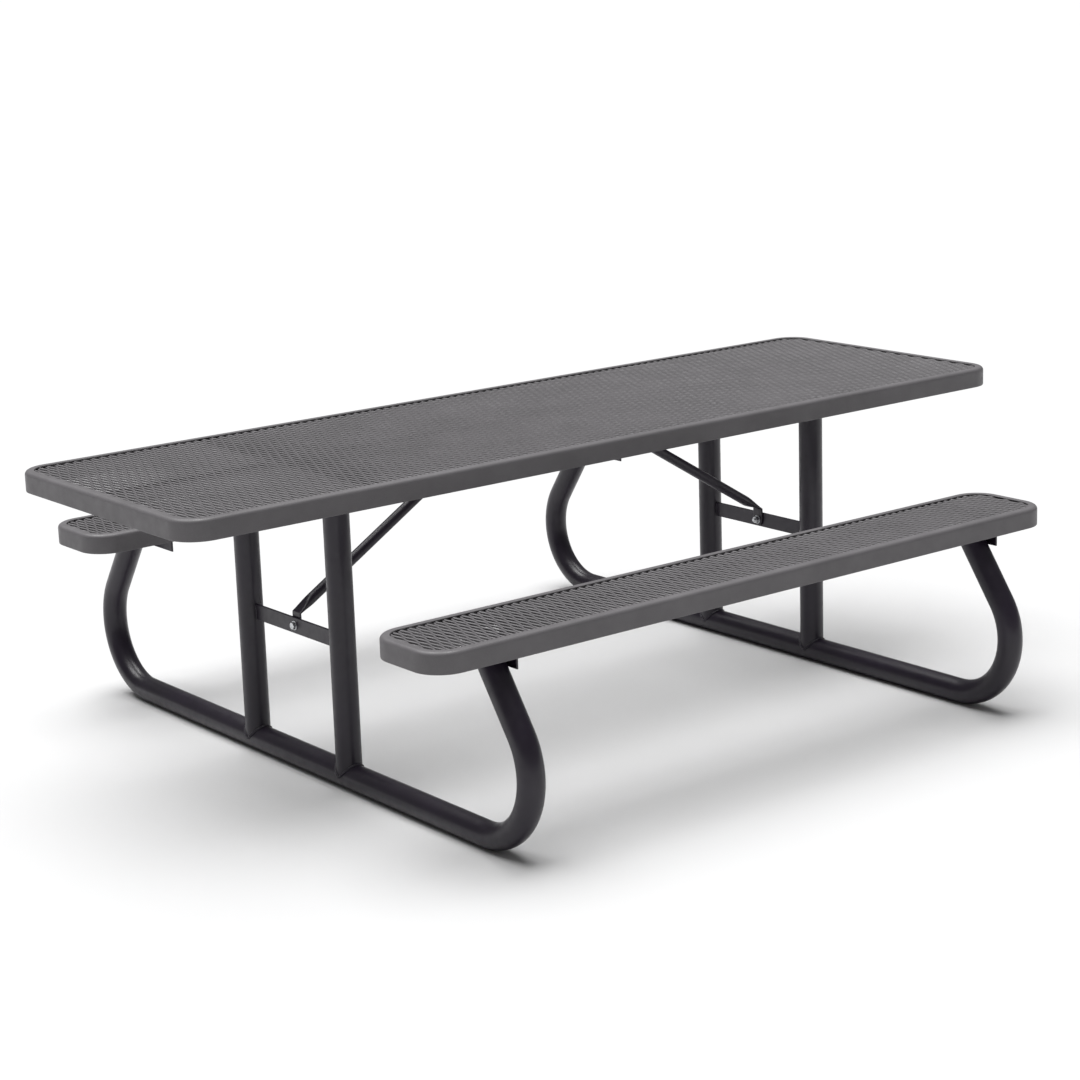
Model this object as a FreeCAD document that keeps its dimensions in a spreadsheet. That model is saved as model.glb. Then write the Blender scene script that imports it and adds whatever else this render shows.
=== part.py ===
import FreeCAD, Part
import math
import os
import Sketcher

Vector = FreeCAD.Vector

# Wheelchair-accessible picnic table: a coated steel-mesh top and two benches on two bent-tube end
# frames. X runs along the table, Y across it, Z up, and the origin is on the ground at the middle.

# ---------------------------------------------------------------- driving sizes, millimetres
SIZES = [
    ("TopLength", 2438), ("TopWidth", 762), ("TopHeight", 736),
    ("BenchLength", 1850), ("BenchWidth", 241), ("BenchHeight", 485),
    ("BenchOffset", 704),        # from the table's centre line to each bench's
    ("SkirtDepth", 48),          # height of the formed edge round a top or bench
    ("CornerRadius", 72),        # of all three panels, seen from above
    ("EdgeRadius", 10),          # where the skirt turns into the lip
    ("RimWall", 3.2), ("CoatRadius", 1.2), ("LipWidth", 22),
    ("MeshThickness", 5), ("MeshClearance", 0.6),
    ("FrameSpacing", 1460),      # between the planes of the two end frames
    ("TubeDiameter", 60.3), ("TubeWall", 3.2),
    ("BendRadius", 160), ("BendAngle", 125),
    ("ArmOffset", 15),           # each arm's top lies this far outside the bench's centre line
    ("PostSpacing", 390),
    ("BarHeight", 38), ("BarThickness", 6), ("BarLevel", 345),
    ("StrapWidth", 42), ("StrapDepth", 8), ("StrapWall", 3), ("StrapEndGap", 6),
    ("AngleLeg", 63.5), ("AngleWall", 5), ("WeldGap", 0.2),
    ("TopAngleEndGap", 112), ("BenchAngleEndGap", 22),     # from the skirt's inner face
    ("RibLeg", 32), ("RibWall", 4), ("RibEndGap", 6),
    ("BraceDiameter", 25.4), ("BraceFlat", 5), ("BraceTabWidth", 34),
    ("BraceFootTab", 30), ("BraceHeadTab", 58),
    ("BraceTopReach", 175),      # from the table's middle to each brace's upper bolt
    ("BraceTaper", 55),          # length over which the round tube is pressed flat
    ("BoltDiameter", 8), ("BoltHeadDiameter", 18), ("BoltHeadHeight", 4), ("BoltSpare", 5),
    ("NutFlats", 13), ("NutHeight", 6.5), ("WasherDiameter", 20), ("WasherThickness", 1.6),
    ("BraceBoltDiameter", 10), ("BraceBoltFlats", 16), ("BraceBoltHead", 6.4),
    ("BraceNutHeight", 8.4), ("BraceWasherDiameter", 22),
    ("HoleClearance", 1),
    ("TopBoltOuter", 250), ("TopBoltInner", 80), ("BenchBoltInner", 64), ("BenchBoltOuter", 78),
]

doc = FreeCAD.newDocument("PicnicTable")
sheet = doc.addObject("Spreadsheet::Sheet", "Sizes")
for row, (alias, number) in enumerate(SIZES, start=1):
    sheet.set("A%d" % row, alias)
    sheet.set("B%d" % row, str(number))
    sheet.setAlias("B%d" % row, alias)
doc.recompute()


def size(alias):
    return float(sheet.get(alias))


# Levels that several pieces share, as expressions on the sheet.
panels = {
    "top": dict(length="Sizes.TopLength", width="Sizes.TopWidth", height="Sizes.TopHeight",
                angleGap="Sizes.TopAngleEndGap", y="0"),
    "front_bench": dict(length="Sizes.BenchLength", width="Sizes.BenchWidth",
                        height="Sizes.BenchHeight", angleGap="Sizes.BenchAngleEndGap",
                        y="-Sizes.BenchOffset"),
    "back_bench": dict(length="Sizes.BenchLength", width="Sizes.BenchWidth",
                       height="Sizes.BenchHeight", angleGap="Sizes.BenchAngleEndGap",
                       y="Sizes.BenchOffset"),
}
meshUnder = "-Sizes.RimWall - Sizes.MeshThickness"          # from a panel's top surface
strapUnder = meshUnder + " - Sizes.StrapDepth"
angleUnder = strapUnder + " - Sizes.AngleWall"              # what the tubes stand up against
frames = {"left": "-Sizes.FrameSpacing / 2", "right": "Sizes.FrameSpacing / 2"}
tubeRadius = "Sizes.TubeDiameter / 2"
ribBolt = "Sizes.TopHeight%s - (Sizes.RibWall + Sizes.RibLeg) / 2" % meshUnder
angleFace = tubeRadius + " + Sizes.WeldGap"                 # an angle's inner face, from the frame plane

turns = {"x": FreeCAD.Rotation(Vector(0, 1, 0), 90), "y": FreeCAD.Rotation(Vector(1, 0, 0), -90),
         "z": FreeCAD.Rotation()}
armTop = "(Sizes.BenchHeight%s)" % angleUnder
bendTop = "(%s + Sizes.BendRadius * (1 - cos(Sizes.BendAngle)))" % tubeRadius
# Half of the runner's straight length, which brings the arms' tops to where the benches want them.
runnerHalf = ("(Sizes.BenchOffset + Sizes.ArmOffset - Sizes.BendRadius * sin(Sizes.BendAngle)"
              " - (%s - %s) / tan(Sizes.BendAngle))" % (armTop, bendTop))

parts = []


# ---------------------------------------------------------------- helpers
def part(kind, label):
    thing = doc.addObject(kind, label)
    thing.Label = label
    parts.append(thing)
    return thing


def inner(kind, name):
    """A feature that another feature uses, and that is not a piece by itself."""
    return doc.addObject(kind, name)


def bind(thing, **expressions):
    for name, expression in expressions.items():
        thing.setExpression(name, expression)
    return thing


def place(thing, x="0", y="0", z="0"):
    for axis, expression in zip("xyz", (x, y, z)):
        thing.setExpression("Placement.Base." + axis, expression)
    return thing


def sketch_on(body, name, role, level="0"):
    """A sketch on one of the body's own origin planes, raised along that plane's normal."""
    sketch = body.newObject("Sketcher::SketchObject", body.Name + "_" + name)
    plane = [feature for feature in body.Origin.OriginFeatures if feature.Role == role][0]
    sketch.AttachmentSupport = [(plane, "")]
    sketch.MapMode = "FlatFace"
    sketch.setExpression("AttachmentOffset.Base.z", level)
    return sketch


def constrain(sketch, expression, *arguments):
    """Adds a dimension and ties it to the sheet."""
    index = sketch.addConstraint(Sketcher.Constraint(*arguments))
    sketch.setExpression("Constraints[%d]" % index, expression)


def rounded_rectangle(sketch, length, width, radius):
    """Four lines and four quarter arcs about the sketch's origin; sizes are expressions."""
    guess = [sheet_value(text) for text in (length, width, radius)]
    halfX, halfY, r = guess[0] / 2, guess[1] / 2, guess[2]
    a, b = halfX - r, halfY - r
    lines = [((-a, -halfY), (a, -halfY)), ((halfX, -b), (halfX, b)),
             ((a, halfY), (-a, halfY)), ((-halfX, b), (-halfX, -b))]
    centres = [(a, -b), (a, b), (-a, b), (-a, -b)]
    for start, end in lines:
        sketch.addGeometry(Part.LineSegment(Vector(*start, 0), Vector(*end, 0)), False)
    for turn, (cx, cy) in enumerate(centres):
        circle = Part.Circle(Vector(cx, cy, 0), Vector(0, 0, 1), r)
        first = math.radians(-90 + 90 * turn)
        sketch.addGeometry(Part.ArcOfCircle(circle, first, first + math.pi / 2), False)
    for turn in range(4):
        line, arc, after = turn, 4 + turn, (turn + 1) % 4
        sketch.addConstraint(Sketcher.Constraint("Tangent", line, 2, arc, 1))
        sketch.addConstraint(Sketcher.Constraint("Tangent", arc, 2, after, 1))
        if turn > 1:
            kind = "Vertical" if turn % 2 else "Horizontal"
            sketch.addConstraint(Sketcher.Constraint(kind, line))
        if turn:
            sketch.addConstraint(Sketcher.Constraint("Equal", 4, arc))
    sketch.addConstraint(Sketcher.Constraint("Symmetric", 0, 1, 0, 2, -2))
    sketch.addConstraint(Sketcher.Constraint("Symmetric", 1, 1, 1, 2, -1))
    constrain(sketch, length, "DistanceX", 3, 1, 1, 1, 2 * halfX)
    constrain(sketch, width, "DistanceY", 0, 1, 2, 1, 2 * halfY)
    constrain(sketch, radius, "Radius", 4, r)


def sheet_value(expression):
    """The number that an expression gives, for a sketch's first guess."""
    probe = doc.addObject("App::FeaturePython", "Probe")
    probe.addProperty("App::PropertyFloat", "Number")
    probe.setExpression("Number", expression)
    doc.recompute()
    number = probe.Number
    doc.removeObject(probe.Name)
    return number


def edges_at(feature, level, tolerance=1e-4):
    """Names of the feature's edges that lie wholly at one height of its own frame."""
    names = []
    for number, edge in enumerate(feature.Shape.Edges, start=1):
        box = edge.BoundBox
        if abs(box.ZMin - level) < tolerance and abs(box.ZMax - level) < tolerance:
            names.append("Edge%d" % number)
    return names


def pad(body, name, sketch, length, down=True):
    feature = body.newObject("PartDesign::Pad", body.Name + "_" + name)
    feature.Profile = sketch
    feature.Reversed = down
    feature.setExpression("Length", length)
    doc.recompute()
    return feature


def pocket(body, name, sketch, length):
    feature = body.newObject("PartDesign::Pocket", body.Name + "_" + name)
    feature.Profile = sketch
    feature.setExpression("Length", length)
    doc.recompute()
    return feature


def fillet(body, name, base, names, radius):
    feature = body.newObject("PartDesign::Fillet", body.Name + "_" + name)
    feature.Base = (base, names)
    feature.setExpression("Radius", radius)
    doc.recompute()
    return feature


def cylinder(name, radius, height, axis, x, y, z):
    """A Part cylinder from a point along +X, +Y or +Z."""
    rod = inner("Part::Cylinder", name)
    bind(rod, Radius=radius, Height=height)
    rod.Placement.Rotation = turns[axis]
    return place(rod, x, y, z)


def box(name, length, width, height, x, y, z):
    block = inner("Part::Box", name)
    bind(block, Length=length, Width=width, Height=height)
    return place(block, x, y, z)


def join(kind, label, shapes, is_part=True):
    """One fuse or compound of several features."""
    thing = part(kind, label) if is_part else inner(kind, label)
    if kind == "Part::Compound":
        thing.Links = shapes
    else:
        thing.Shapes = shapes
    return thing


def cut(label, base, tools, is_part=True):
    tool = tools[0]
    if len(tools) > 1:
        tool = join("Part::Compound", label + "_tools", tools, is_part=False)
    thing = part("Part::Cut", label) if is_part else inner("Part::Cut", label)
    thing.Base = base
    thing.Tool = tool
    return thing


# ---------------------------------------------------------------- panels: rim, mesh, straps, rib
def make_rim(name, panel):
    """The formed sheet edge: a skirt all round, turned over at the top into a lip."""
    body = part("PartDesign::Body", name + "_rim")
    outline = sketch_on(body, "outline", "XY_Plane")
    rounded_rectangle(outline, panel["length"], panel["width"], "Sizes.CornerRadius")
    block = pad(body, "block", outline, "Sizes.SkirtDepth")

    hollow = sketch_on(body, "hollow", "XY_Plane", "-Sizes.RimWall")
    rounded_rectangle(hollow, panel["length"] + " - 2 * Sizes.RimWall",
                      panel["width"] + " - 2 * Sizes.RimWall", "Sizes.CornerRadius - Sizes.RimWall")
    shell = pocket(body, "shell", hollow, "Sizes.SkirtDepth")
    turned = fillet(body, "inside_turn", shell, edges_at(shell, -size("RimWall")),
                    "Sizes.EdgeRadius - Sizes.RimWall")
    rolled = fillet(body, "outside_turn", turned, edges_at(turned, 0), "Sizes.EdgeRadius")

    opening = sketch_on(body, "opening", "XY_Plane")
    rounded_rectangle(opening, panel["length"] + " - 2 * Sizes.LipWidth",
                      panel["width"] + " - 2 * Sizes.LipWidth",
                      "Sizes.CornerRadius - Sizes.LipWidth")
    frame = pocket(body, "frame", opening, "Sizes.RimWall * 2")
    lip = [name for name in edges_at(frame, 0) if is_inside(frame, name, panel)]
    soft = fillet(body, "lip_edge", frame, lip, "Sizes.CoatRadius")
    fillet(body, "skirt_edge", soft, edges_at(soft, -size("SkirtDepth")), "Sizes.CoatRadius")
    place(body, y=panel["y"], z=panel["height"])


def is_inside(feature, name, panel):
    """True for an edge of the lip's opening, which is nearer the middle than the rolled edge is."""
    edge = feature.Shape.getElement(name)
    middle = edge.CenterOfMass
    spareX = sheet_value(panel["length"]) / 2 - abs(middle.x)
    spareY = sheet_value(panel["width"]) / 2 - abs(middle.y)
    return min(spareX, spareY) > (size("EdgeRadius") + size("LipWidth")) / 2


def make_mesh(name, panel):
    """The expanded-metal sheet, as a plain plate of its outer size, welded under the rim's lip."""
    inset = " - 2 * (Sizes.EdgeRadius + Sizes.MeshClearance)"
    body = part("PartDesign::Body", name + "_mesh")
    outline = sketch_on(body, "outline", "XY_Plane")
    rounded_rectangle(outline, panel["length"] + inset, panel["width"] + inset,
                      "Sizes.CornerRadius - Sizes.EdgeRadius - Sizes.MeshClearance")
    pad(body, "sheet", outline, "Sizes.MeshThickness")
    place(body, y=panel["y"], z=panel["height"] + " - Sizes.RimWall")


def make_strap(name, side, panel, bolts):
    """A shallow channel across the panel, open side up against the mesh; bolt heads sit inside it."""
    label = "%s_strap_%s" % (name, side)
    span = panel["width"] + " - 2 * Sizes.RimWall - 2 * Sizes.StrapEndGap"
    start = "%s - (%s) / 2" % (panel["y"], span)
    left = frames[side] + " - Sizes.StrapWidth / 2"
    bottom = panel["height"] + strapUnder
    outside = box(label + "_outside", "Sizes.StrapWidth", span, "Sizes.StrapDepth", left, start, bottom)
    groove = box(label + "_groove", "Sizes.StrapWidth - 2 * Sizes.StrapWall", span, "Sizes.StrapDepth",
                 left + " + Sizes.StrapWall", start, bottom + " + Sizes.StrapWall")
    holes = [bolt_hole("%s_hole_%d" % (label, number), side, y, bottom)
             for number, y in enumerate(bolts)]
    cut(label, outside, [groove] + holes)


def bolt_hole(name, side, y, bottom):
    """A clearance hole down through a strap and the angle under it."""
    return cylinder(name, "(Sizes.BoltDiameter + Sizes.HoleClearance) / 2",
                    "3 * (Sizes.StrapWall + Sizes.AngleWall)", "z", frames[side], y,
                    bottom + " - 2 * Sizes.AngleWall")


def angle_shape(label, across, length, leg, wall, x, y, z, flip=False, is_part=False):
    """An L section under a surface at height z, from (x, y): one leg flat above, one hanging down.

    across is the axis the piece runs along. x, y is the corner where the hanging leg's outer face
    starts, and flip puts the hanging leg at the low end of the flat leg instead of the high end.
    """
    if across == "y":
        flat = box(label + "_flat", leg, length, wall, x, y, z + " - " + wall)
        drop = x if flip else "%s + %s - %s" % (x, leg, wall)
        hang = box(label + "_hang", wall, length, leg, drop, y, z + " - " + leg)
    else:
        flat = box(label + "_flat", length, leg, wall, x, y, z + " - " + wall)
        drop = y if flip else "%s + %s - %s" % (y, leg, wall)
        hang = box(label + "_hang", length, wall, leg, x, drop, z + " - " + leg)
    return join("Part::MultiFuse", label, [flat, hang], is_part)


def make_rib(name, panel, label, start, length, drilled=False):
    """A lengthwise angle welded under the mesh; its hanging face is beside the centre plane."""
    label = "%s_rib_%s" % (name, label)
    face = "%s + Sizes.BraceFlat / 2" % panel["y"]
    angle = angle_shape(label + "_section" if drilled else label, "x", length, "Sizes.RibLeg",
                        "Sizes.RibWall", start, face, panel["height"] + meshUnder, flip=True,
                        is_part=not drilled)
    if drilled:
        holes = [cylinder("%s_hole_%s" % (label, side),
                          "(Sizes.BraceBoltDiameter + Sizes.HoleClearance) / 2",
                          "3 * Sizes.RibWall", "y", sign + "Sizes.BraceTopReach",
                          face + " - Sizes.RibWall", ribBolt)
                 for side, sign in (("left", "-"), ("right", ""))]
        cut(label, angle, holes)


def make_ribs(name, panel):
    """One rib between the two frames' angles, and one from each angle out to the end of the panel."""
    beside = "Sizes.RibEndGap + Sizes.AngleWall"
    innerEnd = "Sizes.FrameSpacing / 2 - Sizes.AngleLeg - " + beside
    outerStart = "Sizes.FrameSpacing / 2 + %s + %s" % (angleFace, beside)
    outerLength = "%s / 2 - Sizes.RimWall - Sizes.RibEndGap - (%s)" % (panel["length"], outerStart)
    make_rib(name, panel, "middle", "-(%s)" % innerEnd, "2 * (%s)" % innerEnd, name == "top")
    make_rib(name, panel, "left", "-(%s) - (%s)" % (outerStart, outerLength), outerLength)
    make_rib(name, panel, "right", outerStart, outerLength)


# ---------------------------------------------------------------- end frames
def make_runner(side):
    """One tube bent into the runner on the ground and the two arms that lean in under the benches."""
    body = part("PartDesign::Body", "runner_" + side)
    half = sheet_value(runnerHalf)
    radius = size("BendRadius")
    level = size("TubeDiameter") / 2
    bend = math.radians(size("BendAngle"))

    path = sketch_on(body, "path", "YZ_Plane")
    end = Vector(half + radius * math.sin(bend), level + radius * (1 - math.cos(bend)), 0)
    path.addGeometry(Part.LineSegment(Vector(0, level, 0), Vector(half, level, 0)), False)
    circle = Part.Circle(Vector(half, level + radius, 0), Vector(0, 0, 1), radius)
    path.addGeometry(Part.ArcOfCircle(circle, -math.pi / 2, bend - math.pi / 2), False)
    tip = end + Vector(math.cos(bend), math.sin(bend), 0) * radius   # the height below settles it
    path.addGeometry(Part.LineSegment(end, tip), False)
    for constraint in (("Horizontal", 0), ("Tangent", 0, 2, 1, 1), ("Tangent", 1, 2, 2, 1),
                       ("PointOnObject", 0, 1, -2)):
        path.addConstraint(Sketcher.Constraint(*constraint))
    constrain(path, tubeRadius, "DistanceY", -1, 1, 0, 1, level)
    constrain(path, runnerHalf, "DistanceX", 0, 1, 0, 2, half)
    constrain(path, "Sizes.BendRadius", "Radius", 1, radius)
    constrain(path, "180 - Sizes.BendAngle", "Angle", 2, 1, 0, 2, math.pi - bend)
    constrain(path, "Sizes.BenchHeight", "DistanceY", -1, 1, 2, 2, tip.y)

    section = sketch_on(body, "section", "XZ_Plane")
    for expression in (tubeRadius, tubeRadius + " - Sizes.TubeWall"):
        index = section.addGeometry(Part.Circle(Vector(0, level, 0), Vector(0, 0, 1),
                                                sheet_value(expression)), False)
        section.addConstraint(Sketcher.Constraint("PointOnObject", index, 3, -2))
        constrain(section, tubeRadius, "DistanceY", -1, 1, index, 3, level)
        constrain(section, expression, "Radius", index, sheet_value(expression))
    doc.recompute()
    tube = body.newObject("PartDesign::AdditivePipe", body.Name + "_tube")
    tube.Profile = section
    tube.Spine = (path, [])
    doc.recompute()

    trim = sketch_on(body, "trim", "XY_Plane", armTop)
    rounded_rectangle(trim, "4 * Sizes.TubeDiameter", "2 * %s + 4 * Sizes.BendRadius" % runnerHalf,
                      tubeRadius)
    level_cut = pocket(body, "arm_end", trim, "4 * Sizes.BendRadius")
    level_cut.Reversed = True
    doc.recompute()

    mirror = body.newObject("PartDesign::Mirrored", body.Name + "_other_arm")
    mirror.Originals = [tube, level_cut]
    plane = [feature for feature in body.Origin.OriginFeatures if feature.Role == "XZ_Plane"][0]
    mirror.MirrorPlane = (plane, [""])
    body.Tip = mirror
    place(body, x=frames[side])


def make_post(side, place_name, sign):
    """An upright tube, shaped to the runner at its foot and up under the angle at its head."""
    label = "post_%s_%s" % (side, place_name)
    y = "%s Sizes.PostSpacing / 2" % sign
    height = "Sizes.TopHeight" + angleUnder + " - " + tubeRadius
    solid = cylinder(label + "_rod", tubeRadius, height, "z", frames[side], y, tubeRadius)
    bore = cylinder(label + "_bore", tubeRadius + " - Sizes.TubeWall", height, "z", frames[side], y,
                    tubeRadius)
    saddle = cylinder(label + "_saddle", tubeRadius, "4 * Sizes.TubeDiameter", "y", frames[side],
                      y + " - 2 * Sizes.TubeDiameter", tubeRadius)
    cut(label, solid, [bore, saddle])


def make_cross_bar(side):
    """A flat bar on edge between the two posts, shaped to them and drilled for the brace's bolt."""
    label = "cross_bar_" + side
    flat = box(label + "_flat", "Sizes.BarThickness", "Sizes.PostSpacing", "Sizes.BarHeight",
               frames[side] + " - Sizes.BarThickness / 2", "-Sizes.PostSpacing / 2",
               "Sizes.BarLevel - Sizes.BarHeight / 2")
    ends = [cylinder("%s_end_%d" % (label, number), tubeRadius, "2 * Sizes.BarHeight", "z",
                     frames[side], y, "Sizes.BarLevel - Sizes.BarHeight")
            for number, y in enumerate(("-Sizes.PostSpacing / 2", "Sizes.PostSpacing / 2"))]
    hole = cylinder(label + "_hole", "(Sizes.BraceBoltDiameter + Sizes.HoleClearance) / 2",
                    "3 * Sizes.BarThickness", "x", frames[side] + " - 1.5 * Sizes.BarThickness", "0",
                    "Sizes.BarLevel")
    cut(label, flat, ends + [hole])


def make_angle(label, side, panel, bolts):
    """The angle across under a panel: the tubes end under its flat leg, beside its hanging leg."""
    span = panel["width"] + " - 2 * Sizes.RimWall - 2 * " + panel["angleGap"]
    start = "%s - (%s) / 2" % (panel["y"], span)
    left = "%s + %s + Sizes.AngleWall - Sizes.AngleLeg" % (frames[side], angleFace)
    shape = angle_shape(label + "_section", "y", span, "Sizes.AngleLeg", "Sizes.AngleWall", left,
                        start, panel["height"] + strapUnder)
    holes = [bolt_hole("%s_hole_%d" % (label, number), side, y, panel["height"] + strapUnder)
             for number, y in enumerate(bolts)]
    cut(label, shape, holes)


# ---------------------------------------------------------------- braces
def section(centre, sideways, other, halfWidth, halfThick):
    """A closed outline of four edges: a slot shape, or a circle when both halves are the same."""
    straight = halfWidth - halfThick
    turn = math.pi / 4 if straight < 1e-6 else math.pi / 2

    def spot(sign, angle):
        return centre + sideways * (sign * straight + halfThick * math.cos(angle)) + \
            other * (halfThick * math.sin(angle))

    right = [spot(1, -turn), spot(1, 0), spot(1, turn)]
    left = [spot(-1, math.pi - turn), spot(-1, math.pi), spot(-1, math.pi + turn)]
    edges = [Part.Arc(*right).toShape()]
    if straight < 1e-6:
        edges.append(Part.Arc(right[2], spot(1, math.pi / 2), left[0]).toShape())
        edges.append(Part.Arc(*left).toShape())
        edges.append(Part.Arc(left[2], spot(1, -math.pi / 2), right[0]).toShape())
    else:
        edges.append(Part.LineSegment(right[2], left[0]).toShape())
        edges.append(Part.Arc(*left).toShape())
        edges.append(Part.LineSegment(left[2], right[0]).toShape())
    return Part.Wire(edges)


def tab_shape(eye, towardTube, normal, sideways, length):
    """A flat end: a slot-shaped bar from the tube's side to a half-round tip about the bolt's eye."""
    halfWidth = size("BraceTabWidth") / 2
    outline = section(eye - towardTube * halfWidth, sideways, normal, halfWidth, size("BraceFlat") / 2)
    bar = Part.Face(outline).extrude(towardTube * (halfWidth + length))
    thick = 2 * size("BraceFlat")
    disc = Part.makeCylinder(halfWidth, thick, eye - normal * thick / 2, normal)
    cornerBox = Part.Face(section(eye, sideways, normal, halfWidth * 2, thick / 2))
    tip = disc.fuse(cornerBox.extrude(towardTube * length))
    hole = Part.makeCylinder((size("BraceBoltDiameter") + size("HoleClearance")) / 2, thick,
                             eye - normal * thick / 2, normal)
    return bar.common(tip).cut(hole)


def make_brace(side):
    """A round tube from the cross bar up to the rib, pressed flat at both ends.

    The lower tab lies against the bar's inner face, and the upper one against the rib's face.
    """
    toward = 1 if side == "left" else -1
    radius = size("BraceDiameter") / 2
    flat = size("BraceFlat")
    halfWidth = size("BraceTabWidth") / 2
    low = Vector(toward * (flat - size("FrameSpacing") + size("BarThickness")) / 2, 0,
                 size("BarLevel"))
    high = Vector(-toward * size("BraceTopReach"), 0, sheet_value(ribBolt))
    rise = Vector(0, 0, 1)
    across = Vector(0, 1, 0)

    knee = low + rise * size("BraceFootTab")
    along = (high - knee).normalize()
    upright = across.cross(along)
    taperLow = knee + along * size("BraceTaper")
    tabHigh = high - along * size("BraceHeadTab")
    taperHigh = tabHigh - along * size("BraceTaper")

    pieces = [
        tab_shape(low, rise, Vector(-1, 0, 0), across, size("BraceFootTab")),
        Part.makeLoft([section(knee, across, Vector(-1, 0, 0), halfWidth, flat / 2),
                       section(taperLow, across, across.cross(along), radius, radius)], True, True),
        Part.makeCylinder(radius, (taperHigh - taperLow).Length, taperLow, along),
        Part.makeLoft([section(taperHigh, upright, across, radius, radius),
                       section(tabHigh, upright, across, halfWidth, flat / 2)], True, True),
        tab_shape(high, along * -1, across, upright, size("BraceHeadTab")),
    ]
    brace = part("Part::Feature", "brace_" + side)
    brace.Shape = pieces[0].fuse(pieces[1:]).removeSplitter()


# ---------------------------------------------------------------- fasteners
def piece_along(kind, name, seat, axis, toward, near, far, **sizes):
    """One solid of a fastener, from near to far along the bolt, measured from the bolt's seat."""
    thing = inner(kind, name)
    bind(thing, Height="(%s) - (%s)" % (far, near), **sizes)
    thing.Placement.Rotation = turns[axis]
    spot = list(seat)
    index = "xyz".index(axis)
    spot[index] += " + (%s)" % near if toward > 0 else " - (%s)" % far
    return place(thing, *spot)


def hexagon(name, seat, axis, toward, near, far, flats):
    prism = piece_along("Part::Prism", name, seat, axis, toward, near, far,
                        Circumradius=flats + " / sqrt(3)")
    prism.Polygon = 6
    return prism


def ring(name, outside, bore):
    """A washer or nut: its outer solid less the bolt's own diameter."""
    return cut(name, outside, [bore], is_part=False)


def make_fastener(name, seat, axis, toward, grip, style, groups):
    """A bolt from its seat through the grip, a washer and a nut; each goes to its own group."""
    washer = "Sizes.WasherThickness"
    if style == "carriage":
        diameter, flats = "Sizes.BoltDiameter", "Sizes.NutFlats"
        nutHeight, washerWidth = "Sizes.NutHeight", "Sizes.WasherDiameter"
        start = "0"
        head = piece_along("Part::Cone", name + "_head", seat, axis, toward,
                           "-Sizes.BoltHeadHeight", "0", Radius1="Sizes.BoltHeadDiameter / 2",
                           Radius2="Sizes.BoltHeadDiameter / 4")
    else:
        diameter, flats = "Sizes.BraceBoltDiameter", "Sizes.BraceBoltFlats"
        nutHeight, washerWidth = "Sizes.BraceNutHeight", "Sizes.BraceWasherDiameter"
        start = "-" + washer
        head = hexagon(name + "_head", seat, axis, toward, start + " - Sizes.BraceBoltHead", start,
                       flats)
    nutStart = "%s + %s" % (grip, washer)
    end = "%s + %s + Sizes.BoltSpare" % (nutStart, nutHeight)
    shank = piece_along("Part::Cylinder", name + "_shank", seat, axis, toward, start, end,
                        Radius=diameter + " / 2")
    groups["bolts"].append(join("Part::MultiFuse", name + "_bolt", [head, shank], is_part=False))

    washers = [(grip, nutStart)]
    if style == "hex":
        washers.append((start, "0"))
    for number, (near, far) in enumerate(washers):
        label = "%s_washer_%d" % (name, number)
        disc = piece_along("Part::Cylinder", label + "_disc", seat, axis, toward, near, far,
                           Radius=washerWidth + " / 2")
        bore = piece_along("Part::Cylinder", label + "_bore", seat, axis, toward, near, far,
                           Radius=diameter + " / 2")
        groups["washers"].append(ring(label, disc, bore))
    block = hexagon(name + "_nut_block", seat, axis, toward, nutStart,
                    nutStart + " + " + nutHeight, flats)
    thread = piece_along("Part::Cylinder", name + "_nut_bore", seat, axis, toward, nutStart,
                         nutStart + " + " + nutHeight, Radius=diameter + " / 2")
    groups["nuts"].append(ring(name + "_nut", block, thread))


def group_fasteners(label, groups):
    """Identical fasteners share one piece of the file, each still a solid of its own."""
    for kind, shapes in groups.items():
        join("Part::Compound", "%s_%s" % (label, kind), shapes)


def empty_groups():
    return {"bolts": [], "washers": [], "nuts": []}


# ---------------------------------------------------------------- the table
topBolts = ["Sizes.TopBoltOuter", "Sizes.TopBoltInner", "-Sizes.TopBoltInner", "-Sizes.TopBoltOuter"]
boltRows = {
    "top": topBolts,
    "front_bench": ["-Sizes.BenchOffset + Sizes.BenchBoltInner",
                    "-Sizes.BenchOffset - Sizes.BenchBoltOuter"],
    "back_bench": ["Sizes.BenchOffset - Sizes.BenchBoltInner",
                   "Sizes.BenchOffset + Sizes.BenchBoltOuter"],
}

for name, panel in panels.items():
    make_rim(name, panel)
    make_mesh(name, panel)
    make_ribs(name, panel)
    for side in frames:
        make_strap(name, side, panel, boltRows[name])
        make_angle("%s_angle_%s" % (name, side), side, panel, boltRows[name])

for side in frames:
    make_runner(side)
    for place_name, sign in (("front", "-"), ("back", "")):
        make_post(side, place_name, sign)
    make_cross_bar(side)
    make_brace(side)

panelGrip = "Sizes.StrapWall + Sizes.AngleWall"
for label, names in (("top", ["top"]), ("bench", ["front_bench", "back_bench"])):
    groups = empty_groups()
    for name in names:
        seat = panels[name]["height"] + strapUnder + " + Sizes.StrapWall"
        for side in frames:
            for number, y in enumerate(boltRows[name]):
                make_fastener("%s_%s_%d" % (name, side, number), (frames[side], y, seat), "z", -1,
                              panelGrip, "carriage", groups)
    group_fasteners(label, groups)

groups = empty_groups()
for side, toward in (("left", 1), ("right", -1)):
    seat = ("%s %s Sizes.BarThickness / 2" % (frames[side], "-" if toward > 0 else "+"), "0",
            "Sizes.BarLevel")
    make_fastener("brace_foot_" + side, seat, "x", toward, "Sizes.BarThickness + Sizes.BraceFlat",
                  "hex", groups)
    seat = ("%s Sizes.BraceTopReach" % ("-" if toward > 0 else ""), "-Sizes.BraceFlat / 2", ribBolt)
    make_fastener("brace_head_" + side, seat, "y", 1, "Sizes.BraceFlat + Sizes.RibWall", "hex", groups)
group_fasteners("brace", groups)

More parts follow.
